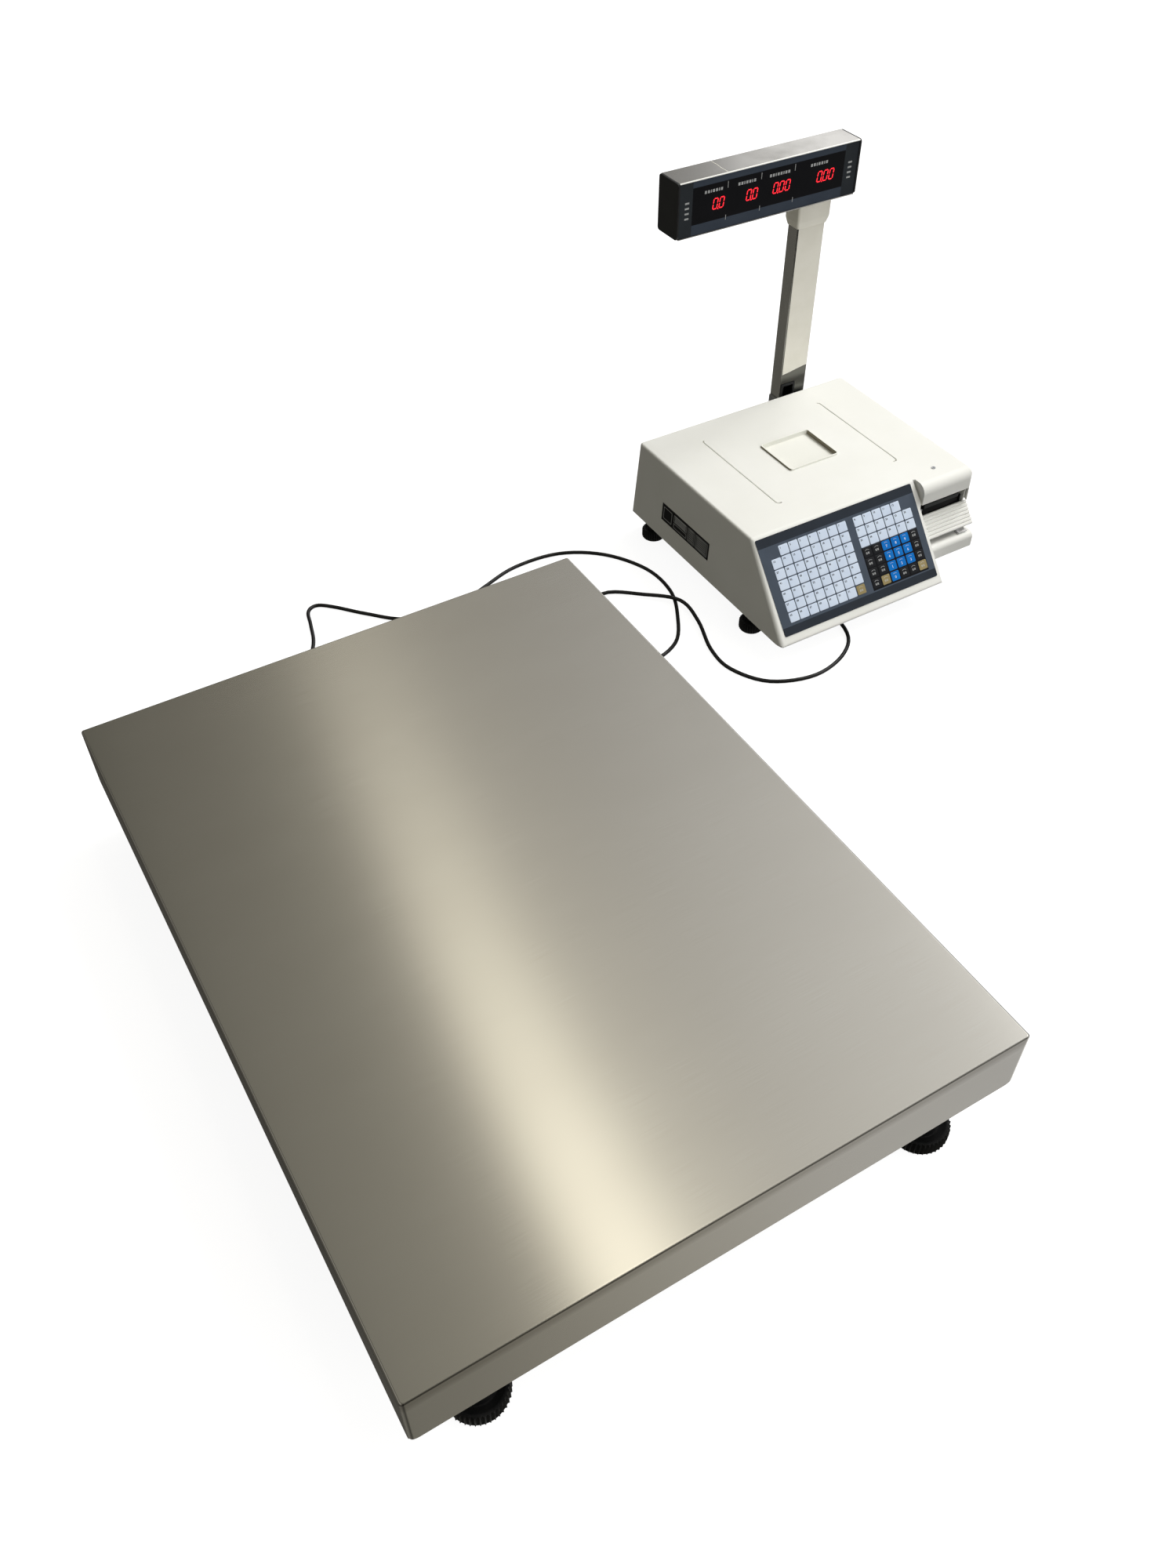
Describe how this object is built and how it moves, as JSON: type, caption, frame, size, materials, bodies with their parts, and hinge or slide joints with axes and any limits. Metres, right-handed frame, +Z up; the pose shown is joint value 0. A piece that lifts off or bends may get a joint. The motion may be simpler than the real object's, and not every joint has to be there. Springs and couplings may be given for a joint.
{
  "type": "label printing scale",
  "caption": "Label printing scale: stainless weighing platform, console with sloped keypad and label printer, and display on a pole.",
  "frame": {"origin": "on the floor below the middle of the whole scale, its cable apart", "axes": "+Z up, +X to the right seen from the keypad side (along the platform's short side), +Y to the back"},
  "size_m": [1.1703, 1.0498, 0.474],
  "materials": {
    "brushed_stainless": "brushed across the platform",
    "painted_frame_steel": "grey paint",
    "machined_aluminium": "machined",
    "black_rubber": "matt",
    "cable_jacket": "smooth PVC",
    "zinc_steel": "zinc plated",
    "ivory_abs": "fine texture",
    "black_plastic": "fine texture",
    "switch_red": "gloss",
    "slate_overlay": "satin film",
    "display_film": "satin film",
    "key_print": "printed film",
    "label_foil": "printed film",
    "circuit_board": "solder mask",
    "clear_latch": "clear moulding",
    "white_nylon": "moulded",
    "label_paper": "coated paper"
  },
  "bodies": {
    "base": {"cover_pads": "black_rubber", "upper_left_rail": "painted_frame_steel", "upper_right_rail": "painted_frame_steel", "upper_centre_beam": "painted_frame_steel", "load_cell": "machined_aluminium", "load_cell_bolts": "zinc_steel", "load_cell_lead": "cable_jacket", "overload_stops": "zinc_steel", "lower_left_rail": "painted_frame_steel", "lower_right_rail": "painted_frame_steel", "lower_front_tube": "painted_frame_steel", "lower_rear_tube": "painted_frame_steel", "lower_centre_beam": "painted_frame_steel", "platform_foot_nuts": "zinc_steel", "platform_gland": "black_plastic", "signal_cable": "cable_jacket", "console_case": "ivory_abs", "console_base": "zinc_steel", "seat_insert": "ivory_abs", "keypad_overlay": "slate_overlay", "keypad_keys": "key_print", "rating_plate": "label_foil", "main_board": "circuit_board", "power_supply": "zinc_steel", "mains_inlet": "black_plastic", "console_gland": "black_plastic", "pole_bracket": "zinc_steel", "pole": "brushed_stainless", "pole_screws": "zinc_steel", "pole_grommet": "black_plastic", "display_lead": "cable_jacket", "display_sleeve": "ivory_abs", "display_housing": "brushed_stainless", "display_end_left": "black_plastic", "display_end_right": "black_plastic", "display_front": "display_film", "display_board": "circuit_board", "case_screw": "zinc_steel", "print_head": "black_plastic"},
    "cover": {"platform_cover": "brushed_stainless"},
    "platform_foot_front_left": {"platform_foot_front_left": "black_rubber"},
    "platform_foot_front_right": {"platform_foot_front_right": "black_rubber"},
    "platform_foot_rear_left": {"platform_foot_rear_left": "black_rubber"},
    "platform_foot_rear_right": {"platform_foot_rear_right": "black_rubber"},
    "console_foot_front_left": {"console_foot_front_left": "black_rubber"},
    "console_foot_front_right": {"console_foot_front_right": "black_rubber"},
    "console_foot_rear_left": {"console_foot_rear_left": "black_rubber"},
    "console_foot_rear_right": {"console_foot_rear_right": "black_rubber"},
    "cassette": {"cassette_frame": "zinc_steel", "cassette_front": "ivory_abs", "label_guide": "ivory_abs", "feed_motor": "machined_aluminium"},
    "platen": {"platen_roller": "black_rubber", "platen_gear": "white_nylon"},
    "pinion": {"motor_pinion": "white_nylon"},
    "roll": {"label_roll": "label_paper", "roll_spindle": "black_plastic"},
    "take_up": {"take_up_spool": "black_plastic"},
    "latch": {"cassette_latch": "clear_latch"},
    "rocker": {"power_switch": "switch_red"}
  },
  "joints": [
    {"name": "cover_lift", "type": "slide", "parent": "base", "child": "cover", "axis": [0, 0, 1], "range_m": [0, 0.12]},
    {"name": "platform_foot_front_left_turn", "type": "hinge", "parent": "base", "child": "platform_foot_front_left", "pos_m": [-0.517, -0.482, 0], "axis": [0, 0, 1], "continuous": true},
    {"name": "platform_foot_front_right_turn", "type": "hinge", "parent": "base", "child": "platform_foot_front_right", "pos_m": [-0.053, -0.482, 0], "axis": [0, 0, 1], "continuous": true},
    {"name": "platform_foot_rear_left_turn", "type": "hinge", "parent": "base", "child": "platform_foot_rear_left", "pos_m": [-0.517, 0.254, 0], "axis": [0, 0, 1], "continuous": true},
    {"name": "platform_foot_rear_right_turn", "type": "hinge", "parent": "base", "child": "platform_foot_rear_right", "pos_m": [-0.053, 0.254, 0], "axis": [0, 0, 1], "continuous": true},
    {"name": "console_foot_front_left_turn", "type": "hinge", "parent": "base", "child": "console_foot_front_left", "pos_m": [0.243, 0.199, 0], "axis": [0, 0, 1], "continuous": true},
    {"name": "console_foot_front_right_turn", "type": "hinge", "parent": "base", "child": "console_foot_front_right", "pos_m": [0.569, 0.214, 0], "axis": [0, 0, 1], "continuous": true},
    {"name": "console_foot_rear_left_turn", "type": "hinge", "parent": "base", "child": "console_foot_rear_left", "pos_m": [0.243, 0.438, 0], "axis": [0, 0, 1], "continuous": true},
    {"name": "console_foot_rear_right_turn", "type": "hinge", "parent": "base", "child": "console_foot_rear_right", "pos_m": [0.569, 0.438, 0], "axis": [0, 0, 1], "continuous": true},
    {"name": "cassette_slide", "type": "slide", "parent": "base", "child": "cassette", "axis": [0, -1, 0], "range_m": [0, 0.12]},
    {"name": "platen_spin", "type": "hinge", "parent": "cassette", "child": "platen", "pos_m": [0.535, 0.198, 0.09], "axis": [1, 0, 0], "continuous": true},
    {"name": "pinion_spin", "type": "hinge", "parent": "cassette", "child": "pinion", "pos_m": [0.5005, 0.208, 0.07491], "axis": [1, 0, 0], "continuous": true},
    {"name": "roll_spin", "type": "hinge", "parent": "cassette", "child": "roll", "pos_m": [0.5405, 0.261, 0.066], "axis": [1, 0, 0], "continuous": true},
    {"name": "take_up_spin", "type": "hinge", "parent": "cassette", "child": "take_up", "pos_m": [0.5405, 0.198, 0.052], "axis": [1, 0, 0], "continuous": true},
    {"name": "latch_flip", "type": "hinge", "parent": "cassette", "child": "latch", "pos_m": [0.566, 0.171, 0.052], "axis": [-1, 0, 0], "range_deg": [0, 40], "stiffness_Nm_per_rad": 0.02},
    {"name": "switch_rock", "type": "hinge", "parent": "base", "child": "rocker", "pos_m": [0.299, 0.468, 0.055], "axis": [-1, 0, 0], "range_deg": [0, 16]}
  ],
  "couplings": [
    {"joint": "pinion_spin", "follows": "platen_spin", "ratio": -2}
  ]
}
